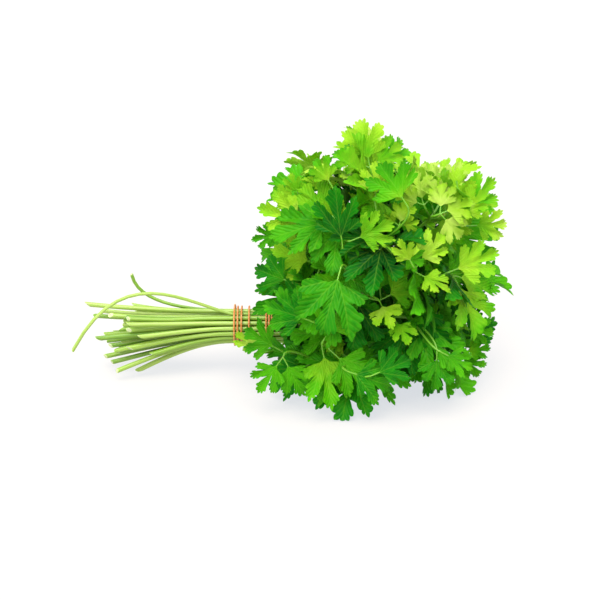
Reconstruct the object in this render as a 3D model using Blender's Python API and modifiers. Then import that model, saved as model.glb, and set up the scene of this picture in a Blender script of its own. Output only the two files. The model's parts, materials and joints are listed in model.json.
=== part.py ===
# A bunch of flat-leaf parsley: leafy stems held by one wound rubber band, lying on a surface.
# Metres, +Z up. +X runs from the cut ends of the stems to the leaves, and -Y is the front.
# The origin is on the surface, in the middle of the leaf that the head of the bunch lies on.
# Each jitter is the most that a seeded draw from -1 to 1 changes the value before it.

import math

import bmesh
import bpy
import numpy as np
from mathutils.bvhtree import BVHTree

SEED = 18

# Head of the bunch: the forks of the stems lie on a boxy egg round this centre.
HEAD_CENTRE = np.array((0.0, 0.0, 0.072))
FORK_RADII = np.array((0.049, 0.054, 0.069))
FORK_JITTER = 0.09
LOWER_RADIUS = 0.052  # the egg is flatter below its centre, where the head lies
BOXINESS = 3.0
HEAD_TILT = math.radians(28)  # how far the head leans up from the line of the stems

# Stems: rings of them in the band, from the middle out. A ring's leaves face this far from
# the head's own axis, and every second leaf is the swing further back.
RING_COUNTS = (1, 6, 12, 18)
RING_LEANS = np.radians((0, 35, 69, 112))
RING_SWINGS = np.radians((0, 4, 6, 14))
LEAN_JITTER = 0.06
ROUND_JITTER = 0.10
RING_PITCH = 0.00355
STEM_RADIUS = 0.0015
RADIUS_JITTER = 0.05
CUT_THICKNESS = 1.10  # radius at the cut end, as a share of the radius in the band
FORK_THICKNESS = 0.68  # the same at the fork
HELD_SHARES = (0.35, 0.55)  # the stretch of a stem that has the band's radius

# Where the band holds the stems, and the loose fan that they make behind it.
BAND_CENTRE = np.array((-0.085, 0.0, 0.034))
BAND_HALF_LENGTH = 0.0145
FAN_LENGTH = 0.095
FAN_LENGTH_JITTER = 0.022
FAN_HEIGHT = 0.029
FAN_SPREAD = 2.0
FAN_SLANT = 1.2  # the upper stems reach further back than the lower ones
FAN_JITTER = 0.0018
FAN_BOW = 0.9
FAN_BOW_JITTER = 0.5
FAN_STEPS = 3

# In front of the band a stem keeps straight on for the pull at its start, a share of its way
# and a length, and reaches its fork with the pull at its end.
START_PULL = (0.55, 0.018)
END_PULL = 0.8
TURN_OUT = 0.9  # how strongly it turns away from the head's middle on its last stretch
FLAT_TURN_OUT = 0.5
HEAD_STEPS = 3

# Leaves: the outline of half a leaflet, of length 1, from its tip back to its stalk.
LEAFLET_LENGTH = 0.037
LENGTH_JITTER = 0.10
LEAFLET_MARGIN = ((0.85, 0.16), (0.41, 0.06), (0.78, 0.41), (0.58, 0.32), (0.50, 0.51))
LEAFLET_RIB = 0.42
LEAFLET_BASE = 0.02
LEAFLET_ARCH = -0.12  # how far the tip turns down, in leaflet lengths
ARCH_JITTER = 0.10
LEAFLET_FOLD = 0.10  # rise of a leaflet's halves from its rib
BLADE_THICKNESS = 0.0008
STALK_HALF_WIDTH = 0.00085
# Three leaflets grow from the fork and two further down the stem. Each row is a leaflet: its
# turn round the leaf and its rise from it in degrees, its size, and the length of its stalk.
FORK_LEAFLETS = ((-64, 6, 0.90, 0.007), (0, 10, 1.00, 0.010), (64, 6, 0.90, 0.007))
LOWER_LEAFLETS = ((-112, -4, 0.84, 0.012), (112, -4, 0.84, 0.012))
TURN_JITTER, RISE_JITTER, ROLL_JITTER = 10, 12, 14
LOWER_DISTANCE = 0.017
HUB_CORNERS = (-115, -32, 32, 115)  # corners of the fork's blade, between which stalks start
HUB_REACH = 1.4  # in half widths of a stalk
LEAF_DROOP = 0.55  # how strongly a leaf turns down, against turning back from the head's axis
# How far a leaf's tip stands out from the head, and how far the leaf turns round its stem.
RING_OPENINGS = np.radians((70, 52, 42, 30))
OPENING_JITTER = 0.4  # as a share
RING_TWISTS = np.radians((90, 80, 65, 35))

# The leaf that the head rests on lies flat on the surface, with its tip towards +X.
REST_STEM = 32
REST_FORK = np.array((-0.022, 0.0, 0.0011))
# Leaves that hang out of the head at the front: the fork, and the way that the leaf points.
HANGING_LEAVES = {
    29: ((-0.015, -0.053, 0.028), (-0.10, -0.80, -0.58)),
    30: ((-0.041, -0.042, 0.026), (-0.75, -0.42, -0.50)),
    31: ((0.036, -0.022, 0.028), (0.66, -0.32, -0.56)),
}
HANGING_RISE = 0.6  # their stems come down to the fork from above
# Two thin stems stray from the fan: the cut end, how far the pull there leaves the chord, and
# the slope at which the stem comes down to the band.
STRAY_STEMS = {
    24: ((-0.2055, -0.026, 0.027), (0, 0.031, -0.175), 0.30),
    22: ((-0.168, 0.006, 0.069), (0.056, 0, 0.043), 0),
}
STRAY_RADIUS = 0.0011
STRAY_STEPS = 7
# Two stems of the lower front spread wide, so that their cut ends come down near the surface.
LOW_TIPS = {30: (-0.178, -0.018, 0.0075), 31: (-0.164, -0.010, 0.0048)}

# What would reach below the surface bends to lie along it, over this height.
PRESS_HEIGHT = 0.0012
BLADE_FLOOR = 0.75  # lowest height of a blade's middle, in blade thicknesses

# Rubber band: its strand, and where its turns lie along the stems. A turn goes straight for a
# share of its way and then steps aside to the next place. One long turn leads back over them.
STRAND_RADIUS = 0.00065
BAND_RADIUS = 0.0135
BAND_PLACES = (-0.0122, -0.0099, -0.0072, -0.0020, 0.0098, 0.0118, 0.0138)
BAND_STRAIGHT = 0.45
BAND_OVERPASS = 0.0017
OVERPASS_SHARE = 0.12  # of the long turn, in which it rises over the others and comes down
RETURN_STRAIGHT = 0.14
POINTS_PER_TURN = 16

# What would cross is moved clear. A stem takes the first of these sideways bows, in metres,
# that clears the stems before it, and its cut end takes a share of it. A leaflet takes the
# first of the tilts and sizes: degrees up, degrees of roll, and a share of its full length.
STEM_TRIES = [(r * math.cos(a), r * math.sin(a)) for r in (0, 0.004, 0.008, 0.012, 0.017)
              for a in (0, 2.4, 4.8, 7.2, 9.6, 12.0)]
TIP_SWAY = 0.5
LEAFLET_TRIES = ((0, 0, 1), (14, 0, 1), (-14, 0, 1), (0, 24, 1), (0, -24, 1), (28, 0, 0.95),
                 (-28, 0, 0.95), (16, 28, 0.88), (16, -28, 0.88), (-16, 28, 0.82),
                 (-16, -28, 0.82), (42, 0, 0.78), (-42, 0, 0.78), (0, 45, 0.72),
                 (0, -45, 0.72), (56, 0, 0.7), (-56, 0, 0.65), (30, 0, 0.55))
CLEARANCE = 0.0006
GUARD_GROWTH = 1.03
STEM_CLEARANCE = 0.00015


def unit(vector):
    return vector / np.linalg.norm(vector)


def turned(vector, axis, angle):
    """The vector turned round a unit axis by the right-hand rule."""
    along = axis * (vector @ axis)
    return along + (vector - along) * math.cos(angle) + np.cross(axis, vector) * math.sin(angle)


def smooth_step(x):
    x = np.clip(x, 0, 1)
    return x * x * (3 - 2 * x)


def hermite(start, start_pull, end, end_pull, steps):
    """Points on the cubic that leaves start along start_pull and meets end along end_pull."""
    s = np.linspace(0, 1, steps + 1)[:, None]
    return ((2 * s**3 - 3 * s**2 + 1) * start + (s**3 - 2 * s**2 + s) * start_pull
            + (3 * s**2 - 2 * s**3) * end + (s**3 - s**2) * end_pull)


def pressed(points, lowest):
    """The points with any height below the lowest one bent up smoothly to lie along it."""
    points = np.array(points, float)
    height = points[:, 2] - lowest
    points[:, 2] = lowest + 0.5 * (height + np.sqrt(height**2 + PRESS_HEIGHT**2))
    return points


def material(name, colour, roughness):
    made = bpy.data.materials.new(name)
    made.use_nodes = True
    shader = made.node_tree.nodes["Principled BSDF"]
    shader.inputs["Base Color"].default_value = (*colour, 1.0)
    shader.inputs["Roughness"].default_value = roughness
    shader.inputs["Metallic"].default_value = 0.0
    return made


def stem_rule(ring, place, draw, leaflet_draws):
    """A stem's place in the band, its cut end, its fork and the way that its leaf faces."""
    pole = np.array((math.cos(HEAD_TILT), 0, math.sin(HEAD_TILT)))
    rise = np.array((-math.sin(HEAD_TILT), 0, math.cos(HEAD_TILT)))
    side = np.array((0.0, 1.0, 0.0))
    angle = 2 * math.pi * (place + 0.5 * (ring % 2)) / RING_COUNTS[ring]
    swing = RING_SWINGS[ring] if place % 2 else -RING_SWINGS[ring]
    lean = RING_LEANS[ring] + swing + LEAN_JITTER * draw[0]
    round_head = angle + ROUND_JITTER * draw[1] * (ring > 0)
    across = math.cos(round_head) * side + math.sin(round_head) * rise
    outward = math.cos(lean) * pole + math.sin(lean) * across
    back = math.cos(lean) * across - math.sin(lean) * pole
    level = back - np.array((0, 0, LEAF_DROOP))
    level = unit(level - outward * (level @ outward))
    level = turned(level, outward, RING_TWISTS[ring] * draw[6])
    opening = RING_OPENINGS[ring] * (1 + OPENING_JITTER * draw[9])
    radii = FORK_RADII / np.sum(np.abs(outward)**BOXINESS) ** (1 / BOXINESS)
    if outward[2] < 0:
        radii[2] *= LOWER_RADIUS / FORK_RADII[2]
    slot = RING_PITCH * ring * np.array((0, math.cos(angle), math.sin(angle)))
    tip = BAND_CENTRE + slot * FAN_SPREAD + FAN_JITTER * np.array((0, draw[4], draw[5]))
    tip[0] = BAND_CENTRE[0] - FAN_LENGTH - FAN_LENGTH_JITTER * draw[3] - FAN_SLANT * slot[2]
    tip[2] += FAN_HEIGHT - BAND_CENTRE[2]
    return {
        "ring": ring, "slot": slot, "tip": tip, "outward": outward,
        "fork": HEAD_CENTRE + radii * outward * (1 + FORK_JITTER * draw[2]),
        "heading": math.cos(opening) * level + math.sin(opening) * outward,
        "faces": math.cos(opening) * outward - math.sin(opening) * level,
        "radius": STEM_RADIUS * (1 + RADIUS_JITTER * draw[7]),
        "bow": slot * (FAN_BOW + FAN_BOW_JITTER * draw[8]), "slope": 0.0, "steps": FAN_STEPS,
        "draws": leaflet_draws, "flat": False,
    }


def stem_rules():
    rng = np.random.default_rng(SEED)
    rules = []
    for ring, count in enumerate(RING_COUNTS):
        for place in range(count):
            draw = rng.uniform(-1, 1, 10)
            rules.append(stem_rule(ring, place, draw, rng.uniform(-1, 1, (5, 5))))
    rules[REST_STEM].update({
        "fork": REST_FORK, "flat": True, "outward": np.array((1.0, 0.0, 0.0)),
        "heading": np.array((1.0, 0.0, 0.0)), "faces": np.array((0.0, 0.0, 1.0)),
    })
    for i, (fork, heading) in HANGING_LEAVES.items():
        heading = unit(np.array(heading))
        side = unit(np.cross((0, 0, 1), heading))
        rules[i].update({
            "fork": np.array(fork), "heading": heading, "faces": np.cross(heading, side),
            "outward": unit(heading + np.array((0, 0, HANGING_RISE))),
        })
    for i, (tip, bow, slope) in STRAY_STEMS.items():
        rules[i].update({"tip": np.array(tip), "bow": np.array(bow), "slope": slope,
                         "radius": STRAY_RADIUS, "steps": STRAY_STEPS})
    for i, tip in LOW_TIPS.items():
        rules[i]["tip"] = np.array(tip)
    return rules


def stem_line(rule, sway):
    """The stem's centre line: loose fan, straight run through the band, then out to the fork."""
    half = np.array((BAND_HALF_LENGTH, 0, 0))
    held_back = BAND_CENTRE + rule["slot"] - half
    held_front = BAND_CENTRE + rule["slot"] + half
    tip = rule["tip"] + TIP_SWAY * np.array((0, *sway))
    straight = (held_back[0] - tip[0]) * np.array((1, 0, -rule["slope"]))
    fan = hermite(tip, held_back - tip - rule["bow"], held_back, straight, rule["steps"])
    way = rule["fork"] - held_front
    reach = np.linalg.norm(way)
    turn_out = FLAT_TURN_OUT if rule["flat"] else TURN_OUT
    arrive = unit(way / reach + turn_out * rule["outward"])
    start_pull = np.array((START_PULL[0] * reach + START_PULL[1], 0, 0))
    head = hermite(held_front, start_pull, rule["fork"], END_PULL * reach * arrive, HEAD_STEPS)
    middle = np.sin(np.linspace(0, math.pi, len(head)))[:, None]
    head += middle * np.array((0, *sway))
    line = pressed(np.vstack((fan, head)), CUT_THICKNESS * rule["radius"])
    if rule["flat"]:
        line[-1] = rule["fork"]
    return line


def stem_radii(rule, line):
    """Radius along the stem: thickest at the cut and thinnest at the fork."""
    along = np.concatenate(((0,), np.cumsum(np.linalg.norm(np.diff(line, axis=0), axis=1))))
    share = np.interp(along / along[-1], (0, *HELD_SHARES, 1),
                      (CUT_THICKNESS, 1, 1, FORK_THICKNESS))
    return share * rule["radius"]


def tube(name, points, radii, bevel_resolution, cyclic=False):
    """A round tube along the points, closed by caps or in a loop, as a mesh object."""
    curve = bpy.data.curves.new(name, "CURVE")
    curve.dimensions = "3D"
    curve.bevel_depth = 1.0
    curve.bevel_resolution = bevel_resolution
    curve.use_fill_caps = not cyclic
    spline = curve.splines.new("POLY")
    spline.points.add(len(points) - 1)
    spline.points.foreach_set("co", np.column_stack((points, np.ones(len(points)))).ravel())
    spline.points.foreach_set("radius", radii)
    spline.use_cyclic_u = cyclic
    guide = bpy.data.objects.new(name + "_line", curve)
    bpy.context.scene.collection.objects.link(guide)
    graph = bpy.context.evaluated_depsgraph_get()
    mesh = bpy.data.meshes.new_from_object(guide.evaluated_get(graph))
    bpy.data.objects.remove(guide, do_unlink=True)
    bm = bmesh.new()
    bm.from_mesh(mesh)
    bmesh.ops.remove_doubles(bm, verts=bm.verts, dist=1e-6)
    bmesh.ops.recalc_face_normals(bm, faces=bm.faces)
    bm.to_mesh(mesh)
    bm.free()
    return bpy.data.objects.new(name, mesh)


def stem_tree(rule, line):
    """A search tree for the stem's tube, a clearance wider than it is."""
    probe = tube("probe", line, stem_radii(rule, line) + STEM_CLEARANCE, 1)
    mesh = probe.data
    tree = BVHTree.FromPolygons([v.co[:] for v in mesh.vertices],
                                [f.vertices[:] for f in mesh.polygons])
    bpy.data.objects.remove(probe)
    bpy.data.meshes.remove(mesh)
    return tree


def place_stems(rules):
    """Lines for the stems, each bowed aside as far as it takes to clear those before it."""
    lines, trees = {}, {}
    for i in sorted(range(len(rules)), key=lambda i: (i != REST_STEM, i)):
        for sway in STEM_TRIES:
            lines[i] = stem_line(rules[i], sway)
            tree = stem_tree(rules[i], lines[i])
            if not any(tree.overlap(other) for other in trees.values()):
                break
        else:
            print("stem", i + 1, "still crosses another")
        trees[i] = tree
    return [lines[i] for i in range(len(rules))], [trees[i] for i in range(len(rules))]


def leaflet_template():
    """A flat leaflet of length 1: points (along, across), triangles, and the way round it.

    The first two points are the right and the left side of its base.
    """
    side = STALK_HALF_WIDTH / LEAFLET_LENGTH
    left = list(LEAFLET_MARGIN)
    right = [(along, -across) for along, across in reversed(left)]
    points = [(LEAFLET_BASE, -side), (LEAFLET_BASE, side), (LEAFLET_RIB, 0), (1, 0),
              *left, *right]
    bm = bmesh.new()
    verts = [bm.verts.new((along, across, 0)) for along, across in points]
    base_right, base_left, rib, tip = verts[:4]
    left_side = verts[4:4 + len(left)]
    right_side = verts[4 + len(left):]
    bm.faces.new((base_left, base_right, rib))
    bm.faces.new((rib, tip, *left_side, base_left))
    bm.faces.new((tip, rib, base_right, *right_side))
    bm.normal_update()
    bmesh.ops.triangulate(bm, faces=bm.faces, ngon_method="BEAUTY")
    bm.verts.index_update()
    triangles = [[v.index for v in f.verts] for f in bm.faces]
    rim = [v.index for v in (base_right, *right_side, tip, *left_side, base_left)]
    bm.free()
    return np.array(points), triangles, rim


def blade_points(template, pose, lift=0.0):
    """The leaflet's points in space. It is folded a little along its rib, and arched."""
    along, across = template[0].T
    height = pose["arch"] * along**2 + pose["fold"] * np.abs(across) + lift / pose["size"]
    points = pose["base"] + pose["size"] * (
        np.outer(along, pose["along"]) + np.outer(across, pose["across"])
        + np.outer(height, pose["normal"]))
    return points if pose["flat"] else pressed(points, BLADE_FLOOR * BLADE_THICKNESS + lift)


def leaf_groups(rule, line):
    """The leaf's groups of leaflets: their rows, the point where their stalks meet, the corners
    of the hub there, and the number of the first one's draws."""
    heading, faces = rule["heading"], rule["faces"]
    fork = line[-1].copy()
    if rule["flat"]:
        fork[2] = 0.5 * BLADE_THICKNESS
    reach = HUB_REACH * STALK_HALF_WIDTH
    groups = [{
        "rows": FORK_LEAFLETS, "start": fork, "first": 0,
        "hub": [fork + reach * turned(heading, faces, math.radians(a)) for a in HUB_CORNERS],
    }]
    if not rule["flat"]:
        centre = line[-1] + LOWER_DISTANCE * unit(line[-2] - line[-1])
        edge = STALK_HALF_WIDTH * heading
        groups.append({"rows": LOWER_LEAFLETS, "start": centre, "first": len(FORK_LEAFLETS),
                       "hub": [centre - edge, centre + edge]})
    return groups


def leaflet_pose(rule, row, start, draw, attempt):
    """Where a leaflet starts, the ways that its rib and its upper face point, and its size."""
    turn, rise, share, stalk = row
    pitch, roll, shrink = attempt
    faces, loose = rule["faces"], 0.0 if rule["flat"] else 1.0
    turn = math.radians(turn + loose * TURN_JITTER * draw[0])
    rise = math.radians(loose * (rise + pitch + RISE_JITTER * draw[1]))
    roll = math.radians(loose * (roll + ROLL_JITTER * draw[2]))
    level = turned(rule["heading"], faces, turn)
    along = math.cos(rise) * level + math.sin(rise) * faces
    normal = turned(math.cos(rise) * faces - math.sin(rise) * level, along, roll)
    return {
        "base": start + along * stalk, "along": along, "normal": normal,
        "across": np.cross(normal, along),
        "size": LEAFLET_LENGTH * share * shrink * (1 + LENGTH_JITTER * draw[3]),
        "arch": loose * (LEAFLET_ARCH - ARCH_JITTER * draw[4]), "fold": loose * LEAFLET_FOLD,
        "flat": rule["flat"],
    }


def guard_tree(template, pose, hub_edge=()):
    """A search tree for a box round a leaflet, and round its stalk where its edge is given."""
    grown = dict(pose, size=pose["size"] * GUARD_GROWTH)
    lift = 0.5 * BLADE_THICKNESS + CLEARANCE
    flat, triangles, rim = template
    count = len(flat) + len(hub_edge)
    points, faces = [], []
    for side in (1, -1):
        start = len(points)
        points += blade_points(template, grown, side * lift).tolist()
        points += [(p + side * lift * pose["normal"]).tolist() for p in hub_edge]
        faces += [[i + start for i in face] for face in triangles]
        if len(hub_edge):
            faces.append((start, start + 1, start + count - 1, start + count - 2))
    around = [count - 2, *rim, count - 1] if len(hub_edge) else rim
    faces += [(i, j, j + count, i + count) for i, j in zip(around, around[1:])]
    return BVHTree.FromPolygons(points, faces)


def place_leaflets(rules, lines, stem_trees):
    """Gives each leaflet of each leaf the first pose that clears what is there before it."""
    template = leaflet_template()
    outside = [[tree] for tree in stem_trees]
    inside = [[] for _ in rules]
    groups = [leaf_groups(rule, line) for rule, line in zip(rules, lines)]
    poses = [{} for _ in rules]
    order = sorted(range(len(rules)), key=lambda i: (i != REST_STEM, -rules[i]["ring"], i))
    for number, k in ((0, 1), (0, 0), (0, 2), (1, 0), (1, 1)):
        for i in order:
            if number >= len(groups[i]):
                continue
            group = groups[i][number]
            hub = group["hub"]
            edge = (hub[k], hub[(k + 1) % len(hub)])
            draw = rules[i]["draws"][group["first"] + k]
            others = [tree for j, trees in enumerate(outside) if j != i for tree in trees]
            for attempt in LEAFLET_TRIES:
                pose = leaflet_pose(rules[i], group["rows"][k], group["start"], draw, attempt)
                blade, whole = guard_tree(template, pose), guard_tree(template, pose, edge)
                if not (any(blade.overlap(tree) for tree in inside[i])
                        or any(whole.overlap(tree) for tree in others)):
                    poses[i][number, k] = pose
                    inside[i].append(blade)
                    outside[i].append(whole)
                    break
    return template, groups, poses


def leaf_sheet(name, template, hub, poses):
    """Leaflets cut to the rib in one thin blade, which Solidify makes a closed solid."""
    bm = bmesh.new()
    ring = [bm.verts.new(p) for p in hub]
    if len(ring) > 2:
        bm.faces.new(ring)
    for k, pose in poses.items():
        verts = [bm.verts.new(p) for p in blade_points(template, pose)]
        bm.faces.new((ring[(k + 1) % len(ring)], ring[k], verts[0], verts[1]))
        for triangle in template[1]:
            bm.faces.new([verts[i] for i in triangle])
    loose = [v for v in ring if not v.link_faces]
    bmesh.ops.delete(bm, geom=loose, context="VERTS")
    bm.normal_update()
    bmesh.ops.triangulate(bm, faces=bm.faces)
    mesh = bpy.data.meshes.new(name)
    bm.to_mesh(mesh)
    bm.free()
    sheet = bpy.data.objects.new(name, mesh)
    wall = sheet.modifiers.new("Thickness", "SOLIDIFY")
    wall.thickness = BLADE_THICKNESS
    wall.offset = 0.0
    return sheet


def leafy_stem(name, rule, line, sheets, skins, bunch):
    """One stem joined with its leaf by a Boolean union into one closed solid."""
    stem = tube(name, line, stem_radii(rule, line), 1)
    stem.data.materials.append(skins["stem"])
    stem.data.materials.append(skins["leaf"])
    bunch.objects.link(stem)
    leaf = bpy.data.collections.new(name + "_leaf")
    bpy.context.scene.collection.children.link(leaf)
    for sheet in sheets:
        sheet.data.materials.append(skins["leaf"])
        leaf.objects.link(sheet)
    join = stem.modifiers.new("Leaf", "BOOLEAN")
    join.operation = "UNION"
    join.operand_type = "COLLECTION"
    join.collection = leaf
    join.solver = "MANIFOLD"
    join.material_mode = "TRANSFER"
    graph = bpy.context.evaluated_depsgraph_get()
    stem.data = bpy.data.meshes.new_from_object(stem.evaluated_get(graph))
    stem.modifiers.remove(join)
    for sheet in sheets:
        bpy.data.objects.remove(sheet, do_unlink=True)
    bpy.data.collections.remove(leaf)


def band_line():
    """Turns round the stems one after another, then one long turn back over them."""
    places = np.array(BAND_PLACES)
    turns = len(places) - 1
    winding = np.arange(turns * POINTS_PER_TURN) / POINTS_PER_TURN
    back = np.arange(POINTS_PER_TURN) / POINTS_PER_TURN
    step = np.floor(winding).astype(int)
    aside = smooth_step((winding - step - BAND_STRAIGHT) / (1 - BAND_STRAIGHT))
    along = places[step] + (places[step + 1] - places[step]) * aside
    returned = smooth_step((back - RETURN_STRAIGHT) / (1 - 2 * RETURN_STRAIGHT))
    returning = places[-1] + (places[0] - places[-1]) * returned
    lift = smooth_step(back / OVERPASS_SHARE) * smooth_step((1 - back) / OVERPASS_SHARE)
    radius = BAND_RADIUS + BAND_OVERPASS * np.concatenate((0 * winding, lift))
    angle = 2 * math.pi * np.concatenate((winding, turns + back)) + 0.5 * math.pi
    return BAND_CENTRE + np.column_stack((np.concatenate((along, returning)),
                                          radius * np.cos(angle), radius * np.sin(angle)))


def main():
    for obj in list(bpy.data.objects):
        bpy.data.objects.remove(obj, do_unlink=True)
    bunch = bpy.data.collections.new("parsley_bunch")
    bpy.context.scene.collection.children.link(bunch)
    skins = {
        "stem": material("pale_stem", (0.42, 0.60, 0.16), 0.45),
        "leaf": material("parsley_leaf", (0.12, 0.38, 0.03), 0.50),
        "band": material("red_rubber", (0.72, 0.20, 0.08), 0.55),
    }
    rules = stem_rules()
    lines, stem_trees = place_stems(rules)
    template, groups, poses = place_leaflets(rules, lines, stem_trees)
    for i, (rule, line) in enumerate(zip(rules, lines)):
        name = f"leafy_stem_{i + 1:02d}"
        sheets = []
        for number, group in enumerate(groups[i]):
            placed = {k: pose for (n, k), pose in poses[i].items() if n == number}
            if placed:
                sheets.append(leaf_sheet(f"{name}_leaf_{number}", template, group["hub"], placed))
        leafy_stem(name, rule, line, sheets, skins, bunch)
    route = band_line()
    band = tube("rubber_band", route, np.full(len(route), STRAND_RADIUS), 0, cyclic=True)
    band.data.materials.append(skins["band"])
    bunch.objects.link(band)
    print("leaflets placed:", sum(len(p) for p in poses))


main()
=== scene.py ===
# Finish for a bunch of flat-leaf parsley: cut and veined leaves, ribbed stems, a rubber band.
# Metres, +Z up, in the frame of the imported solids. Every stem and leaflet follows the rule that
# its solid was made by, and the solid's own corners tell which of the rule's tries it took.

import math

import bpy
import numpy as np
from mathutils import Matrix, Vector
from mathutils.bvhtree import BVHTree
from mathutils.geometry import delaunay_2d_cdt
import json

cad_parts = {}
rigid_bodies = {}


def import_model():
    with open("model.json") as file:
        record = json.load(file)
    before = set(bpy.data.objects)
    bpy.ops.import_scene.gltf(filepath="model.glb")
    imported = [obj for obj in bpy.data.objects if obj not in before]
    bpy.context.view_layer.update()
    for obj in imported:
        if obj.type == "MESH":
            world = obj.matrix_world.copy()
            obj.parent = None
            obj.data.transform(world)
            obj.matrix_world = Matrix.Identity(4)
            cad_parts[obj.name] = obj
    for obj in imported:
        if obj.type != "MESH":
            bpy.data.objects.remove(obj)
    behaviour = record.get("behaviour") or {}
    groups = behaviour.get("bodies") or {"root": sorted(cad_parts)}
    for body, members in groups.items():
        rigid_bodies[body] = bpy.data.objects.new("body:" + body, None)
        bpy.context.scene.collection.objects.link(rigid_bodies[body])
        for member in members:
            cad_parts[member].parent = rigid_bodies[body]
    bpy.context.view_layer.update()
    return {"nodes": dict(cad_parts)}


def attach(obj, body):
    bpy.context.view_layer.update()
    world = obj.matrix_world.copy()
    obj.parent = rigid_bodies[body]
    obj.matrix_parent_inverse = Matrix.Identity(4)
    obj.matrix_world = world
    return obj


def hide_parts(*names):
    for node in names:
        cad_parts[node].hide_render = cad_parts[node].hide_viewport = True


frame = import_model()
print("frame loaded:", len(frame["nodes"]), "nodes")

# The head of the bunch, as in the solids. Each jitter is the most that a draw changes.
head = {
    "seed": 18,
    "centre": np.array((0.0, 0.0, 0.072)),
    "radii": np.array((0.049, 0.054, 0.069)),
    "radiusJitter": 0.09,
    "lowerRadius": 0.052,
    "boxiness": 3.0,
    "tilt": math.radians(28),
    "counts": (1, 6, 12, 18),
    "leans": np.radians((0, 35, 69, 112)),
    "swings": np.radians((0, 4, 6, 14)),
    "leanJitter": 0.06,
    "roundJitter": 0.10,
    "droop": 0.55,
    "openings": np.radians((70, 52, 42, 30)),
    "openingJitter": 0.4,
    "twists": np.radians((90, 80, 65, 35)),
    "restStem": 32,
    "restFork": np.array((-0.022, 0.0, 0.0011)),
    "hanging": {
        29: ((-0.015, -0.053, 0.028), (-0.10, -0.80, -0.58)),
        30: ((-0.041, -0.042, 0.026), (-0.75, -0.42, -0.50)),
        31: ((0.036, -0.022, 0.028), (0.66, -0.32, -0.56)),
    },
    "hangingRise": 0.6,
}

# The stems: their places in the band, the loose fan behind it and the bends in front of it
stalk = {
    "pitch": 0.00355,
    "radius": 0.0015,
    "radiusJitter": 0.05,
    "cutShare": 1.10,
    "forkShare": 0.68,
    "heldShares": (0.35, 0.55),
    "bandCentre": np.array((-0.085, 0.0, 0.034)),
    "heldHalf": np.array((0.0145, 0.0, 0.0)),
    "fanLength": 0.095,
    "fanLengthJitter": 0.022,
    "fanHeight": 0.029,
    "fanSpread": 2.0,
    "fanSlant": 1.2,
    "fanJitter": 0.0018,
    "fanBow": 0.9,
    "fanBowJitter": 0.5,
    "startPull": (0.55, 0.018),
    "endPull": 0.8,
    "turnOut": 0.9,
    "flatTurnOut": 0.5,
    "strays": {
        24: ((-0.2055, -0.026, 0.027), (0, 0.031, -0.175), 0.30),
        22: ((-0.168, 0.006, 0.069), (0.056, 0, 0.043), 0),
    },
    "lowTips": {30: (-0.178, -0.018, 0.0075), 31: (-0.164, -0.010, 0.0048)},
    "strayRadius": 0.0011,
    "solidSteps": (3, 7, 3),  # in the fan, in a stray's fan and in the head
    "steps": (14, 15),  # the same of the finished stem, in the fan and in the head
    "sides": 15,
    "ridges": 5,
    "ridgeDepth": 0.045,
    "cutSlant": 1.3,  # way along for each way across, at most
    "cutFace": ((0.0008, 0.30), (0.0001, 0.62), (-0.00015, 0.93)),  # depth, share of the radius
    "rimDepth": 0.0002,
    "tone": (0.5, 0.45),  # in the middle and by how much at most it changes
    "leafletStalkTone": 0.3,
    "leafletStalkShare": 0.95,  # a leaflet's stalk is as green as the stem at this share
    "mapLength": 0.1,  # metres of stem to one length of the map
    "pressHeight": 0.0012,
    "tipSway": 0.5,
    "sways": [(r * math.cos(a), r * math.sin(a)) for r in (0, 0.004, 0.008, 0.012, 0.017)
              for a in (0, 2.4, 4.8, 7.2, 9.6, 12.0)],
}

# A leaflet's place on its leaf: turn and rise in degrees, size, stalk length, way down the stem
leaf = {
    "size": 0.037,
    "sizeJitter": 0.10,
    "arch": -0.12,
    "archJitter": 0.10,
    "fold": 0.10,
    "solidThickness": 0.0008,
    "floorShare": 0.75,
    "mostMisfit": 0.00012,
    "forkRows": ((-64, 6, 0.90, 0.007), (0, 10, 1.00, 0.010), (64, 6, 0.90, 0.007)),
    "lowerRows": ((-112, -4, 0.84, 0.012), (112, -4, 0.84, 0.012)),
    "lowerDistance": 0.017,
    "turnJitter": 10,
    "riseJitter": 12,
    "rollJitter": 14,
    "solidOutline": ((1, 0), (0.85, 0.16), (0.41, 0.06), (0.78, 0.41), (0.58, 0.32),
                     (0.50, 0.51)),
    "tries": ((0, 0, 1), (14, 0, 1), (-14, 0, 1), (0, 24, 1), (0, -24, 1), (28, 0, 0.95),
              (-28, 0, 0.95), (16, 28, 0.88), (16, -28, 0.88), (-16, 28, 0.82),
              (-16, -28, 0.82), (42, 0, 0.78), (-42, 0, 0.78), (0, 45, 0.72),
              (0, -45, 0.72), (56, 0, 0.7), (-56, 0, 0.65), (30, 0, 0.55)),
}

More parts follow.
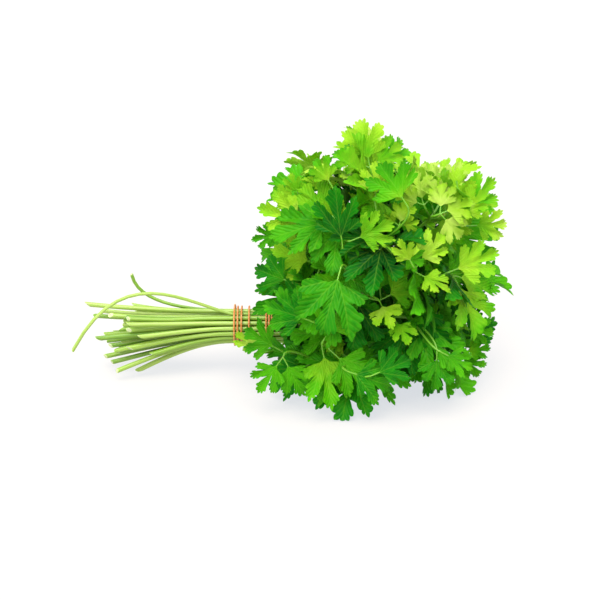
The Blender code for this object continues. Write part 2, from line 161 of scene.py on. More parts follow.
# Small leaves on thin stalks of their own, each set just in front of what the camera sees behind
# it, or at a depth of its own at the outline. A row says where its fork is in the 600 pixel
# frame, which way its middle leaflet points and how far that leans to the camera, both in
# degrees, then its size, its number of leaflets, its tone and, at the outline, its depth.
# The low tones of the small leaves set deep in the head are painted shade.
sprays = {
    "rows": (
        (416, 267, 56, 8, 0.66, 1, 0.84, -0.070), (380, 302, -74, 42, 0.48, 1, 0.74, -0.066),
        (394, 319, -60, 42, 0.44, 1, 0.68, -0.068), (417, 273, -32, 28, 0.56, 1, 0.62, None),
        (399, 226, 80, 20, 0.34, 3, 0.80, -0.044), (351, 241, 18, 10, 0.66, 1, 0.52, None),
        (375, 201, 92, -8, 0.56, 1, 0.70, None), (424, 205, 110, -6, 0.50, 3, 0.80, -0.044),
        (440, 214, 20, 0, 0.52, 3, 0.80, -0.040), (444, 193, 70, -5, 0.52, 3, 0.82, -0.010),
        (461, 216, 55, 5, 0.78, 1, 0.62, -0.020), (468, 226, 2, 10, 0.60, 1, 0.72, -0.030),
        (370, 168, 97, -5, 0.68, 3, 0.62, -0.015), (387, 170, 58, -10, 0.60, 1, 0.35, 0.0),
        (332, 186, 122, 5, 0.44, 1, 0.50, -0.015), (300, 198, 140, 5, 0.46, 2, 0.66, -0.020),
        (311, 224, 172, 10, 0.76, 1, 0.72, -0.035), (318, 264, 165, 10, 0.76, 1, 0.64, -0.045),
        (283, 233, 197, 0, 0.50, 1, 0.40, -0.020), (293, 283, 158, 0, 0.64, 1, 0.15, -0.045),
        (305, 301, 166, 5, 0.52, 1, 0.14, -0.045), (280, 350, 146, 15, 0.60, 1, 0.44, -0.036),
        (262, 352, 146, 5, 0.52, 1, 0.72, -0.024), (343, 250, 92, 12, 0.98, 1, 0.10, None),
        (341, 267, -110, 25, 0.94, 1, 0.36, None), (323, 341, 60, 20, 0.78, 1, 0.44, None),
        (447, 273, 28, 5, 0.80, 1, 0.60, None), (418, 300, -78, 10, 0.86, 1, 0.14, None),
        (322, 346, -82, 20, 0.88, 1, 0.52, None), (330, 350, -50, 15, 0.88, 1, 0.46, None),
        (283, 357, -98, 5, 0.74, 2, 0.50, -0.066), (437, 351, -88, 10, 0.60, 1, 0.22, None),
        (441, 352, -22, 10, 0.50, 1, 0.52, None), (347, 371, -28, 5, 0.66, 1, 0.22, None),
        (371, 376, 14, 5, 0.60, 1, 0.16, None), (313, 322, 152, 10, 0.74, 1, 0.32, None),
        (382, 299, 35, 12, 0.66, 1, 0.44, -0.058), (408, 207, 116, 12, 0.76, 1, 0.32, None),
        (462, 328, -5, 0, 0.54, 1, 0.40, -0.020), (460, 352, -25, 0, 0.56, 2, 0.38, -0.020),
        (432, 251, 90, 0, 0.80, 1, 0.15, 0.020), (434, 226, 88, 0, 0.74, 1, 0.30, 0.015),
        (455, 320, 80, 0, 0.70, 1, 0.15, 0.010), (402, 251, 90, 0, 0.80, 1, 0.06, 0.010),
        (446, 272, 90, 0, 0.75, 1, 0.15, 0.020), (352, 214, 90, 0, 0.80, 1, 0.10, 0.010),
        (455, 330, 95, 0, 0.75, 1, 0.12, 0.000), (462, 300, 70, 0, 0.80, 1, 0.12, 0.020),
        (354, 383, 80, 0, 0.60, 1, 0.12, -0.036), (464, 356, 75, 0, 0.80, 1, 0.15, -0.005),
        (413, 266, 128, 22, 0.46, 1, 0.66, -0.068), (400, 256, -25, 5, 0.36, 1, 0.50, -0.060),
        (381, 298, 96, 10, 0.62, 1, 0.22, -0.056), (344, 267, -74, 25, 0.62, 1, 0.34, None),
        (452, 214, 82, 5, 0.70, 1, 0.72, -0.036),
        (446, 210, 122, 5, 0.55, 1, 0.82, -0.038), (458, 216, 40, 5, 0.55, 1, 0.66, -0.038),
    ),
    "seed": 11,
    "turns": {1: (0,), 2: (-32, 32), 3: (-56, 0, 56)},
    "sideShare": 0.85,
    "stalkLength": 0.009,
    "offsets": (0.002, 0.005, 0.008, 0.012, 0.016, 0.021, 0.027),
    "stalkRadius": (0.0009, 0.0006),
    "stalkPull": 0.8,
    "stalkSteps": 10,
    "clearOfBand": -0.066,
}

# Leaflets that only the finished bunch has: turn, rise, size, stalk and distance down the stem.
# The young ones stand at the fork and below it, the inner ones fill the shade behind.
young = {
    "rows": ((-88, 32, 0.56, 0.006, 0.009), (88, 32, 0.56, 0.006, 0.009),
             (-70, 14, 0.62, 0.012, 0.031), (70, 14, 0.62, 0.012, 0.031),
             (0, 58, 0.46, 0.008, 0.002)),
    "innerRows": ((-100, -10, 0.85, 0.012, 0.036), (100, -10, 0.85, 0.012, 0.036),
                  (10, 30, 0.80, 0.014, 0.046), (-170, 10, 0.80, 0.014, 0.050),
                  (-80, 0, 0.75, 0.012, 0.060), (95, 0, 0.75, 0.012, 0.062),
                  (20, -30, 0.70, 0.012, 0.075), (180, 20, 0.70, 0.012, 0.080)),
    "seed": 5,
    "clearance": 0.0004,
    "clearOfBand": -0.068,
    "reachShare": 0.7,  # of the ball round a leaflet, to tell how near the band it comes
    "searchSteps": 5,
    "searchSides": 6,
}

# The cut outline of half a leaflet of length 1, from its tip to its stalk, its teeth and cuts by
# turns: how far along and across, which cut it belongs to (0 none), and how far the edge to the
# next one bulges out, as a share of its length.
blade = {
    "edge": ((1.000, 0.000, 0, 0.14), (0.905, 0.048, 0, 0.20), (0.950, 0.125, 0, 0.14),
             (0.845, 0.116, 0, 0.20), (0.845, 0.196, 0, 0.14), (0.720, 0.150, 0, 0.03),
             (0.480, 0.064, 1, 0.03), (0.591, 0.208, 0, 0.10), (0.706, 0.272, 0, 0.14),
             (0.676, 0.314, 0, 0.20), (0.765, 0.363, 0, 0.14), (0.712, 0.392, 0, 0.20),
             (0.776, 0.465, 0, 0.14), (0.676, 0.455, 0, 0.20), (0.664, 0.533, 0, 0.14),
             (0.586, 0.468, 0, 0.20), (0.545, 0.530, 0, 0.14), (0.470, 0.415, 0, 0.03),
             (0.385, 0.278, 2, 0.03), (0.366, 0.361, 0, 0.08), (0.408, 0.430, 0, 0.14),
             (0.358, 0.452, 0, 0.20), (0.376, 0.545, 0, 0.14), (0.290, 0.496, 0, 0.20),
             (0.240, 0.545, 0, 0.14), (0.190, 0.440, 0, 0.10), (0.144, 0.340, 0, 0.02),
             (0.095, 0.120, 0, -0.03), (0.030, 0.032, 0, 0.0)),
    "heel": (-0.012, 0.0, 0, 0.0),
    "seed": 3,
    "roughSeed": 1,
    "cutJitter": 0.34,
    "cutDraws": (-1, 0.7),
    "toothJitter": 0.035,
    "templates": 6,
    # places on the edge from one station to the next, and the spacing of the grid inside it
    "grids": {"fine": (3, 0.07), "plain": (2, 0.10), "rough": (1, 0.20)},
    "gridAcross": (-0.7, 0.71),
    "gridRows": 0.87,  # from row to row, in spacings
    "gridClear": 0.4,  # how far the grid stays off the edge, in spacings
    "lobeTurns": (0.0, 0.54, 0.96, 1.5),  # where the lobes' middles point, in radians
    "turnJitter": 0.10,
    "lengthJitter": 0.12,
    "slender": 0.24,
    "slenderDraws": (-0.4, 1),
    "lobeLift": 0.24,
    "liftReach": 0.9,
    "lobeCup": 0.060,
    "foldRounding": 0.0004,
    "tipCurl": 0.80,
    "curlDraws": (-1.2, 0.5),
    "curlFrom": 0.62,
    "ruffle": 0.038,
    "waves": (9, 4, 7),  # round the edge, slower ones, and how these swirl outwards
    "thickness": 0.00036,
    "rimThickness": 0.00012,
    "stalkRadius": (0.00062, 0.00045),
    "stalkThinning": 0.4,  # how much of its radius goes with the leaflet's size
    "stalkSunk": 0.03,
    "stalkBend": 0.0006,
    "stalkSteps": 4,
    "stalkSides": 8,
    "sharpAngle": math.radians(70),
}


def unit(vector):
    return vector / np.linalg.norm(vector)


# The vector turned round a unit axis: its part along the axis stays, the rest turns.
def turned(vector, axis, angle):
    along = axis * (vector @ axis)
    return along + (vector - along) * math.cos(angle) + np.cross(axis, vector) * math.sin(angle)


def smoothStep(x):
    x = np.clip(x, 0, 1)
    return x * x * (3 - 2 * x)


# The cubic that leaves start along its pull and meets end along its own.
def hermite(start, startPull, end, endPull, steps):
    s = np.linspace(0, 1, steps + 1)[:, None]
    return ((2 * s**3 - 3 * s**2 + 1) * start + (s**3 - 2 * s**2 + s) * startPull
            + (3 * s**2 - 2 * s**3) * end + (s**3 - s**2) * endPull)


# Heights below the lowest one are bent up to it: half of (h + root of h squared and bend squared).
def pressed(points, lowest):
    points = np.array(points, float)
    height = points[:, 2] - lowest
    points[:, 2] = lowest + 0.5 * (height + np.sqrt(height**2 + stalk["pressHeight"] ** 2))
    return points


# One stem's rule: the place in its ring gives its slot in the band, its cut end on the fan, and
# its fork on the boxy egg, where the leaf turns from the level way towards the outward one.
def stemRule(ring, place, draw, leafletDraws):
    pole = np.array((math.cos(head["tilt"]), 0, math.sin(head["tilt"])))
    rise = np.array((-math.sin(head["tilt"]), 0, math.cos(head["tilt"])))
    angle = 2 * math.pi * (place + 0.5 * (ring % 2)) / head["counts"][ring]
    swing = head["swings"][ring] if place % 2 else -head["swings"][ring]
    lean = head["leans"][ring] + swing + head["leanJitter"] * draw[0]
    roundHead = angle + head["roundJitter"] * draw[1] * (ring > 0)
    across = math.cos(roundHead) * np.array((0.0, 1.0, 0.0)) + math.sin(roundHead) * rise
    outward = math.cos(lean) * pole + math.sin(lean) * across
    back = math.cos(lean) * across - math.sin(lean) * pole
    level = back - np.array((0, 0, head["droop"]))
    level = unit(level - outward * (level @ outward))
    level = turned(level, outward, head["twists"][ring] * draw[6])
    opening = head["openings"][ring] * (1 + head["openingJitter"] * draw[9])
    radii = head["radii"] / np.sum(np.abs(outward) ** head["boxiness"]) ** (1 / head["boxiness"])
    if outward[2] < 0:
        radii[2] *= head["lowerRadius"] / head["radii"][2]
    centre = stalk["bandCentre"]
    slot = stalk["pitch"] * ring * np.array((0, math.cos(angle), math.sin(angle)))
    tip = centre + slot * stalk["fanSpread"] + stalk["fanJitter"] * np.array((0, draw[4], draw[5]))
    tip[0] = (centre[0] - stalk["fanLength"] - stalk["fanLengthJitter"] * draw[3]
              - stalk["fanSlant"] * slot[2])
    tip[2] += stalk["fanHeight"] - centre[2]
    return {
        "slot": slot, "tip": tip, "outward": outward,
        "fork": head["centre"] + radii * outward * (1 + head["radiusJitter"] * draw[2]),
        "heading": math.cos(opening) * level + math.sin(opening) * outward,
        "faces": math.cos(opening) * outward - math.sin(opening) * level,
        "radius": stalk["radius"] * (1 + stalk["radiusJitter"] * draw[7]),
        "bow": slot * (stalk["fanBow"] + stalk["fanBowJitter"] * draw[8]), "slope": 0.0,
        "fanSteps": stalk["solidSteps"][0], "draws": leafletDraws, "flat": False,
    }


def stemRules():
    rng = np.random.default_rng(head["seed"])
    rules = []
    for ring, count in enumerate(head["counts"]):
        for place in range(count):
            draw = rng.uniform(-1, 1, 10)
            rules.append(stemRule(ring, place, draw, rng.uniform(-1, 1, (5, 5))))
    rules[head["restStem"]].update({
        "fork": head["restFork"], "flat": True, "outward": np.array((1.0, 0.0, 0.0)),
        "heading": np.array((1.0, 0.0, 0.0)), "faces": np.array((0.0, 0.0, 1.0)),
    })
    for i, (fork, heading) in head["hanging"].items():
        heading = unit(np.array(heading))
        side = unit(np.cross((0, 0, 1), heading))
        rules[i].update({
            "fork": np.array(fork), "heading": heading, "faces": np.cross(heading, side),
            "outward": unit(heading + np.array((0, 0, head["hangingRise"]))),
        })
    for i, (tip, bow, slope) in stalk["strays"].items():
        rules[i].update({"tip": np.array(tip), "bow": np.array(bow), "slope": slope,
                         "radius": stalk["strayRadius"], "fanSteps": stalk["solidSteps"][1]})
    for i, tip in stalk["lowTips"].items():
        rules[i]["tip"] = np.array(tip)
    return rules


# The stem's middle line: one cubic through the fan, a straight run through the band, and a
# second cubic to the fork, swayed aside by half a sine wave.
def stemLine(rule, sway, fanSteps, headSteps):
    heldBack = stalk["bandCentre"] + rule["slot"] - stalk["heldHalf"]
    heldFront = stalk["bandCentre"] + rule["slot"] + stalk["heldHalf"]
    tip = rule["tip"] + stalk["tipSway"] * np.array((0, *sway))
    straight = (heldBack[0] - tip[0]) * np.array((1, 0, -rule["slope"]))
    fan = hermite(tip, heldBack - tip - rule["bow"], heldBack, straight, fanSteps)
    way = rule["fork"] - heldFront
    reach = np.linalg.norm(way)
    turnOut = stalk["flatTurnOut"] if rule["flat"] else stalk["turnOut"]
    arrive = unit(way / reach + turnOut * rule["outward"])
    startPull = np.array((stalk["startPull"][0] * reach + stalk["startPull"][1], 0, 0))
    front = hermite(heldFront, startPull, rule["fork"], stalk["endPull"] * reach * arrive,
                    headSteps)
    front += np.sin(np.linspace(0, math.pi, len(front)))[:, None] * np.array((0, *sway))
    line = pressed(np.vstack((fan, front)), stalk["cutShare"] * rule["radius"])
    if rule["flat"]:
        line[-1] = rule["fork"]
    return line


def alongLine(line):
    return np.concatenate(((0,), np.cumsum(np.linalg.norm(np.diff(line, axis=0), axis=1))))


# Thickest at the cut, even through the band, and thinnest at the fork.
def stemRadii(rule, line):
    along = alongLine(line)
    share = np.interp(along / along[-1], (0, *stalk["heldShares"], 1),
                      (stalk["cutShare"], 1, 1, stalk["forkShare"]))
    return share * rule["radius"]


# A leaflet turned round its leaf, raised from it and rolled round its own rib.
def leafletPose(rule, row, start, draw, attempt):
    turn, rise, share, length = row
    pitch, roll, shrink = attempt
    faces, loose = rule["faces"], 0.0 if rule["flat"] else 1.0
    turn = math.radians(turn + loose * leaf["turnJitter"] * draw[0])
    rise = math.radians(loose * (rise + pitch + leaf["riseJitter"] * draw[1]))
    roll = math.radians(loose * (roll + leaf["rollJitter"] * draw[2]))
    level = turned(rule["heading"], faces, turn)
    along = math.cos(rise) * level + math.sin(rise) * faces
    normal = turned(math.cos(rise) * faces - math.sin(rise) * level, along, roll)
    return {
        "start": start, "base": start + along * length, "along": along, "normal": normal,
        "across": np.cross(normal, along),
        "size": leaf["size"] * share * shrink * (1 + leaf["sizeJitter"] * draw[3]),
        "arch": loose * (leaf["arch"] - leaf["archJitter"] * draw[4]),
        "fold": loose * leaf["fold"], "flat": rule["flat"],
    }


# Flat places (along, across) and heights of a leaflet put in space, in leaflet lengths.
def inSpace(pose, along, across, height, lift):
    points = pose["base"] + pose["size"] * (
        np.multiply.outer(along, pose["along"]) + np.multiply.outer(across, pose["across"])
        + np.multiply.outer(height, pose["normal"])) + np.multiply.outer(lift, pose["normal"])
    floor = leaf["floorShare"] * leaf["solidThickness"]
    return points if pose["flat"] else pressed(points, floor)


def nodeName(i):
    return f"leafy_stem_{i + 1:02d}"


def nodeCorners(i):
    mesh = frame["nodes"][nodeName(i)].data
    corners = np.empty(3 * len(mesh.vertices), np.float32)
    mesh.vertices.foreach_get("co", corners)
    return np.unique(corners.reshape(-1, 3).astype(float), axis=0)


# Distance from each point to the nearest corner of the solid.
def nearest(points, corners):
    return np.sqrt(((points[:, None] - corners) ** 2).sum(2).min(1))


def findSway(rule, corners):
    def misfit(sway):
        line = stemLine(rule, sway, rule["fanSteps"], stalk["solidSteps"][2])
        return np.abs(nearest(line, corners) - stemRadii(rule, line))[1:-1].mean()
    return min(stalk["sways"], key=misfit)


# The try whose outline lies half a blade's thickness from the solid's corners, or none.
def findLeaflet(rule, row, start, draw, corners):
    outline = np.array(leaf["solidOutline"])
    along = np.concatenate((outline[:, 0], outline[1:, 0]))
    across = np.concatenate((outline[:, 1], -outline[1:, 1]))
    found, least = None, leaf["mostMisfit"]
    for attempt in leaf["tries"]:
        pose = leafletPose(rule, row, start, draw, attempt)
        height = pose["arch"] * along**2 + pose["fold"] * np.abs(across)
        points = inSpace(pose, along, across, height, 0 * along)
        gap = np.median(np.abs(nearest(points, corners) - 0.5 * leaf["solidThickness"]))
        if gap < least:
            found, least = pose, gap
    return found


def findLeaflets(rule, sway, corners):
    line = stemLine(rule, sway, rule["fanSteps"], stalk["solidSteps"][2])
    fork = line[-1].copy()
    if rule["flat"]:
        fork[2] = 0.5 * leaf["solidThickness"]
    lower = line[-1] + leaf["lowerDistance"] * unit(line[-2] - line[-1])
    groups = [(leaf["forkRows"], fork, 0)]
    if not rule["flat"]:
        groups.append((leaf["lowerRows"], lower, len(leaf["forkRows"])))
    poses = []
    for rows, start, first in groups:
        for k, row in enumerate(rows):
            pose = findLeaflet(rule, row, start, rule["draws"][first + k], corners)
            if pose:
                poses.append(pose)
    return poses


# The closed edge of a leaflet: its stations, mirrored, then joined by parabolas that bulge out.
def leafletEdge(rng, perGap):
    sides = []
    for side in (1, -1):
        half = np.array(blade["edge"])
        cuts = rng.uniform(*blade["cutDraws"], 3) * blade["cutJitter"] * (0, 1, 1)
        grown = 1 + cuts[half[:, 2].astype(int)]
        grown[1:-3] += blade["toothJitter"] * rng.uniform(-1, 1, len(half) - 4)
        half[:, :2] *= grown[:, None]
        half[:, 1] *= side
        sides.append(half)
    back = sides[1][:0:-1].copy()
    back[:, 3] = sides[1][-2::-1, 3]
    rows = np.vstack((sides[0], (blade["heel"],), back))
    step = np.roll(rows[:, :2], -1, axis=0) - rows[:, :2]
    outwards = np.column_stack((step[:, 1], -step[:, 0])) * rows[:, 3:]
    s = (np.arange(perGap) / perGap)[None, :, None]
    edge = rows[:, None, :2] + s * step[:, None] + 4 * s * (1 - s) * outwards[:, None]
    return edge.reshape(-1, 2)


# Whether each point lies inside the closed edge: a ray from it crosses the edge an odd number
# of times. The tiny share keeps a level stretch from dividing by zero.
def isInside(points, edge):
    a, b = edge, np.roll(edge, -1, axis=0)
    x, y = points[:, 0, None], points[:, 1, None]
    between = (a[:, 1] > y) != (b[:, 1] > y)
    crossing = a[:, 0] + (y - a[:, 1]) / (b[:, 1] - a[:, 1] + 1e-12) * (b[:, 0] - a[:, 0])
    return (between & (x < crossing)).sum(1) % 2 == 1


# A flat leaflet: its edge and a grid of points inside it, joined by triangles. An edge that
# crosses itself adds points where it does, and is drawn again.
def leafletTemplate(rng, perGap, spacing):
    flat, points = (), (None,)
    while len(flat) != len(points):
        edge = leafletEdge(rng, perGap)
        along, across = np.meshgrid(np.arange(0, 1, blade["gridRows"] * spacing),
                                    np.arange(*blade["gridAcross"], spacing), indexing="ij")
        across = across + 0.5 * spacing * (np.arange(len(along)) % 2)[:, None]
        grid = np.column_stack((along.ravel(), across.ravel()))
        inside = isInside(grid, edge) & (nearest(grid, edge) > blade["gridClear"] * spacing)
        points = np.vstack((edge, grid[inside]))
        made = delaunay_2d_cdt([Vector(p) for p in points], [], [list(range(len(edge)))], 1, 1e-6)
        flat, triangles = np.array([tuple(p) for p in made[0]]), np.array(made[2])
    corner = flat[triangles]
    turn = np.cross(corner[:, 1] - corner[:, 0], corner[:, 2] - corner[:, 0])
    triangles[turn < 0] = triangles[turn < 0][:, ::-1]
    return {"flat": flat, "triangles": triangles, "edge": len(edge)}


# The flat leaflet bent to this leaflet's own shape. In its plane each place turns and grows by
# the lobe that it points to. Out of it, the height is the solid's arch and fold, and a lift of
# each side lobe, a cup along each lobe's middle, a curl at the tips and a ruffle at the edge.
def leafletSurface(pose, template, rng, tone, shade):
    along, across = template["flat"].T
    radius, angle = np.hypot(along, across), np.arctan2(across, along)
    lobes = blade["lobeTurns"]
    stops = [-a for a in lobes[:0:-1]] + list(lobes)

    def byLobe(draws, middle):
        return np.interp(angle, stops, (middle, draws[3], draws[1], middle, draws[0], draws[2], middle))

    turns = blade["turnJitter"] * rng.uniform(-1, 1, 4)
    lengths = 1 + blade["lengthJitter"] * rng.uniform(-1, 1, 4)
    slender = 1 - blade["slender"] * rng.uniform(*blade["slenderDraws"])
    lifts = blade["lobeLift"] * rng.uniform(-1, 1, 4)
    curl, phase = rng.uniform(*blade["curlDraws"]), rng.uniform(0, 2 * math.pi, 2)
    bearing, grown = angle + byLobe(turns, 0), radius * byLobe(lengths, 1)
    lobe = np.interp(np.abs(angle), lobes, (0, 1, 2, 3))
    lift = byLobe(lifts, 0) * smoothStep(radius / blade["liftReach"]) * radius
    edgeWaves, slowWaves, swirl = blade["waves"]
    height = pose["arch"] * along**2 + pose["fold"] * np.sqrt(across**2 + blade["foldRounding"])
    if not pose["flat"]:
        height = height + (
            lift - blade["lobeCup"] * np.cos(2 * math.pi * lobe) * smoothStep(radius)
            + blade["tipCurl"] * curl * np.maximum(radius - blade["curlFrom"], 0) ** 2
            + blade["ruffle"] * radius**3 * np.sin(edgeWaves * angle + phase[0])
            + 0.5 * blade["ruffle"] * radius**2
            * np.sin(slowWaves * angle + swirl * radius + phase[1]))
    count, rim = len(along), template["edge"]
    half = 0.5 * np.where(np.arange(count) < rim, blade["rimThickness"], blade["thickness"])
    places = pose, grown * np.cos(bearing), slender * grown * np.sin(bearing), height
    triangles = template["triangles"]
    faces = np.vstack((triangles, triangles[:, ::-1] + count))
    j = np.arange(rim)
    k = (j + 1) % rim
    wall = np.column_stack((j, j + count, k + count, k))
    flat = np.vstack((template["flat"], template["flat"]))
    look = np.zeros((2 * count, 4))
    look[:, 0] = tone
    look[:, 1] = shade
    look[count:, 3] = 1
    return {"points": np.vstack((inSpace(*places, half), inSpace(*places, -half))),
            "faces": [faces, wall], "look": look, "uv": [flat[faces], flat[wall]], "skin": 1}


def units(rows):
    return rows / np.linalg.norm(rows, axis=1)[:, None]


# Two ways square to each of a line's tangents, from the direction that the line bends least in.
def framesAlong(line):
    tangent = units(np.gradient(line, axis=0))
    least = np.linalg.svd(tangent, full_matrices=False)[2][-1]
    first = units(np.cross(tangent, least))
    return first, np.cross(tangent, first)


# A circle of radius 1 for each pair of ways.
def circles(first, second, sides):
    turn = 2 * math.pi * np.arange(sides) / sides
    return (np.cos(turn)[None, :, None] * first[:, None]
            + np.sin(turn)[None, :, None] * second[:, None])


# The quads of a tube, from each ring to the next one and from the last to the first where there
# are as many strips as rings, with their places on the map, round the tube and along it.
def tubeQuads(strips, rings, sides, along):
    i, j = (grid.ravel() for grid in np.meshgrid(np.arange(strips), np.arange(sides), indexing="ij"))
    k, n = (j + 1) % sides, (i + 1) % rings
    quads = np.column_stack((i * sides + j, i * sides + k, n * sides + k, n * sides + j))
    u = np.arange(sides + 1) / sides
    corners = ((j, i), (j + 1, i), (j + 1, i + 1), (j, i + 1))
    return quads, np.stack([np.column_stack((u[a], along[b])) for a, b in corners], axis=1)


# A closed tube: rings of points round the line, at its radii times a ridged circle. The shares
# say how far along its stem each ring is.
def tubeSurface(line, radii, sides, tone, shares, ridges=0, depth=0.0):
    rows = len(line)
    ridged = 1 + depth * np.cos(ridges * (2 * math.pi * np.arange(sides) / sides))
    points = line[:, None] + (radii[:, None] * ridged)[..., None] * circles(*framesAlong(line), sides)
    points = np.vstack((points.reshape(-1, 3), line[:1], line[-1:]))
    quads, quadUv = tubeQuads(rows - 1, rows, sides, alongLine(line) / stalk["mapLength"])
    j = np.arange(sides)
    k, lastRing = (j + 1) % sides, (rows - 1) * sides
    ends = np.vstack((np.column_stack((np.full(sides, rows * sides), k, j)),
                      np.column_stack((np.full(sides, rows * sides + 1), lastRing + j, lastRing + k))))
    shares = np.broadcast_to(shares, rows)
    look = np.zeros((len(points), 4))
    look[:, 0] = tone
    look[:, 2] = np.concatenate((np.repeat(shares, sides), (shares[0], shares[-1])))
    return {"points": points, "faces": [ends, quads], "look": look,
            "uv": [np.zeros((2 * sides, 3, 2)), quadUv], "skin": 0}


# The whole stem, with its cut face let in a little at the middle and slanted.
def stemSurface(rule, line, tone, slant):
    radii = stemRadii(rule, line)
    inward = unit(line[1] - line[0])
    depths, cuts = np.transpose(stalk["cutFace"])
    line = np.vstack((line[0] + np.outer(depths, inward), line[0] + stalk["rimDepth"] * inward,
                      line[1:]))
    radii = np.concatenate((cuts * radii[0], radii))
    share = alongLine(line) / alongLine(line)[-1]
    sides, rings = stalk["sides"], len(cuts)
    made = tubeSurface(line, radii, sides, tone, share, stalk["ridges"], stalk["ridgeDepth"])
    cutPoints = np.r_[0:(rings + 1) * sides, len(made["points"]) - 2]
    offsets = made["points"][cutPoints] - line[0]
    made["points"][cutPoints] += np.outer(offsets @ slant, inward)
    made["look"][:rings * sides, 3] = 1
    made["look"][-2, 3] = 1
    return made


def plainStalk(line, radii):
    return tubeSurface(line, radii, blade["stalkSides"], stalk["leafletStalkTone"],
                       stalk["leafletStalkShare"])


# A leaflet's stalk: a cubic from the fork into the blade, bent a little, thinner for small ones.
def leafletStalk(pose, rng):
    start = pose["start"]
    end = pose["base"] + blade["stalkSunk"] * pose["size"] * pose["along"]
    bend = blade["stalkBend"] * rng.uniform(-1, 1, 3)
    line = hermite(start, (end - start) + bend, end, (end - start) - bend,
                   blade["stalkSteps"])
    if not pose["flat"]:
        line = pressed(line, blade["stalkRadius"][0])
    thinning = blade["stalkThinning"]
    size = (1 - thinning) + thinning * pose["size"] / leaf["size"]
    return plainStalk(line, np.linspace(*blade["stalkRadius"], len(line)) * size)


# One mesh from surfaces: corners, loops, map and looks go in as whole arrays.
def pieceFrom(name, surfaces, skins):
    mesh = bpy.data.meshes.new(name)
    offsets = np.concatenate(((0,), np.cumsum([len(s["points"]) for s in surfaces])))[:-1]
    corners, sizes, uv, skin = [], [], [], []
    for surface, offset in zip(surfaces, offsets):
        for faces, places in zip(surface["faces"], surface["uv"]):
            corners.append((faces + offset).ravel())
            sizes.append(np.full(len(faces), faces.shape[1]))
            uv.append(places.reshape(-1, 2))
            skin.append(np.full(len(faces), surface["skin"]))
    points = np.vstack([s["points"] for s in surfaces])
    corners, sizes, uv, skin = (np.concatenate(x) for x in (corners, sizes, uv, skin))
    mesh.vertices.add(len(points))
    mesh.vertices.foreach_set("co", points.ravel())
    mesh.loops.add(len(corners))
    mesh.loops.foreach_set("vertex_index", corners)
    mesh.polygons.add(len(sizes))
    mesh.polygons.foreach_set("loop_start", np.concatenate(((0,), np.cumsum(sizes)[:-1])))
    mesh.polygons.foreach_set("material_index", skin)
    mesh.uv_layers.new(name="grain").data.foreach_set("uv", uv.ravel())
    mesh.attributes.new("look", "FLOAT_COLOR", "POINT").data.foreach_set(
        "color", np.vstack([s["look"] for s in surfaces]).ravel())
    mesh.update(calc_edges=True)
    mesh.shade_smooth()
    mesh.set_sharp_from_angle(angle=blade["sharpAngle"])
    piece = bpy.data.objects.new(name, mesh)
    bpy.context.scene.collection.objects.link(piece)
    for made in skins:
        mesh.materials.append(made)
    return piece


# A search tree of a surface with the ball that holds it.
def searchTree(surface):
    faces = [row.tolist() for rows in surface["faces"] for row in rows]
    middle = 0.5 * (surface["points"].min(0) + surface["points"].max(0))
    reach = np.linalg.norm(surface["points"] - middle, axis=1).max()
    return BVHTree.FromPolygons(surface["points"].tolist(), faces), middle, reach


def meets(one, other):
    near = np.linalg.norm(one[1] - other[1]) < one[2] + other[2]
    return near and bool(one[0].overlap(other[0]))


roughTemplate = leafletTemplate(np.random.default_rng(blade["roughSeed"]), *blade["grids"]["rough"])


# A leaflet of few faces, which stands for the finished one in the searches.
def roughLeaflet(pose):
    rng = np.random.default_rng(blade["roughSeed"])
    return searchTree(leafletSurface(pose, roughTemplate, rng, 0, 0))


# Search trees of the stems, in short lengths, and of the leaflets.
def searchTrees(rules, lines, poses):
    stems, leaflets = [], []
    for i, rule in enumerate(rules):
        line, radii = lines[i][::2], stemRadii(rule, lines[i])[::2] + young["clearance"]
        for k in range(0, len(line) - 1, young["searchSteps"]):
            part = slice(k, k + young["searchSteps"] + 1)
            tube = tubeSurface(line[part], radii[part], young["searchSides"], 0, 0)
            stems.append((i, searchTree(tube)))
        leaflets += [roughLeaflet(pose) for pose in poses[i]]
    return stems, leaflets


# How far the camera's line goes: to the given depth, or without one to the first leaflet that it
# meets, and to the bunch's middle plane where it meets none.
def viewReach(eye, ray, depth, leaflets):
    hits = []
    if depth is None:
        depth = 0
        hits = [tree.ray_cast(Vector(eye), Vector(ray))[3] for tree, _, _ in leaflets]
    hits = [hit for hit in hits if hit]
    return min(hits) if hits else (depth - eye[1]) / ray[1]


# One try of a spray: how many others it meets, its fork, its leaflets and their search trees.
def sprayAt(fork, rule, share, turns, draws, others):
    made = []
    for turn, draw in zip(turns, draws):
        size = share * (1 if turn == 0 else sprays["sideShare"])
        row = (turn, 0, size, sprays["stalkLength"] * share)
        made.append(leafletPose(rule, row, fork, draw, (0, 0, 1)))
    trees = [roughLeaflet(pose) for pose in made]
    return sum(meets(tree, other) for tree in trees for other in others), fork, made, trees


# The stem that is nearest to the fork in front of the band, and the stalk that leaves it along
# that stem and arrives along the spray.
def sprayStalk(fork, heading, lines):
    places = [np.linalg.norm(line - fork, axis=1) + (line[:, 0] < sprays["clearOfBand"])
              for line in lines]
    i = int(np.argmin([place[:-1].min() for place in places]))
    k = int(places[i][:-1].argmin())
    start, way = lines[i][k], unit(lines[i][k + 1] - lines[i][k])
    pull = sprays["stalkPull"] * np.linalg.norm(fork - start)
    line = hermite(start, pull * way, fork, pull * heading, sprays["stalkSteps"])
    return i, pressed(line, sprays["stalkRadius"][0])


